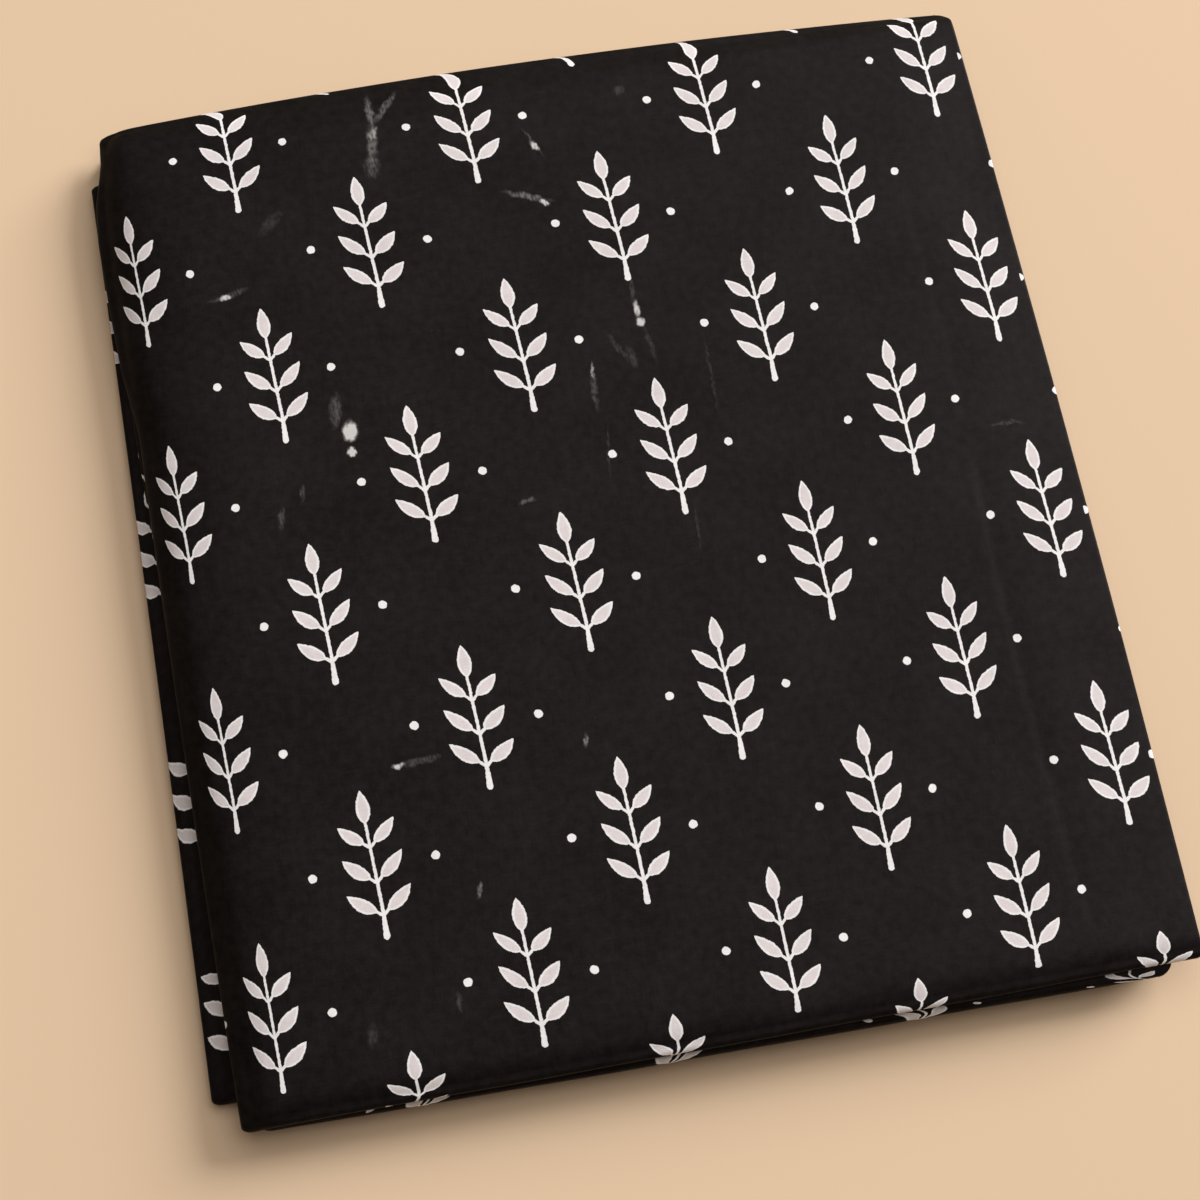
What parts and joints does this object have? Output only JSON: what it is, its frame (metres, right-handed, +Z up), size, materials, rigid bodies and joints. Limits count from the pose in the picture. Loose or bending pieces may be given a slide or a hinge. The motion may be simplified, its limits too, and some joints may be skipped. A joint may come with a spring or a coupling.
{
  "type": "folded cotton cloth",
  "caption": "Cut length of thin black printed cotton, folded back and forth into a flat rectangular pile that rests on its underside.",
  "frame": {"origin": "centre of the pile's footprint, on the surface that it rests on", "axes": "+Z up, X across the pile, +Y towards its back, so the front folds face -Y"},
  "size_m": [0.2953, 0.3248, 0.0157],
  "materials": {
    "printed_cotton": "matt, soft plain weave"
  },
  "bodies": {
    "root": {"folded_cloth": "printed_cotton"}
  },
  "joints": []
}
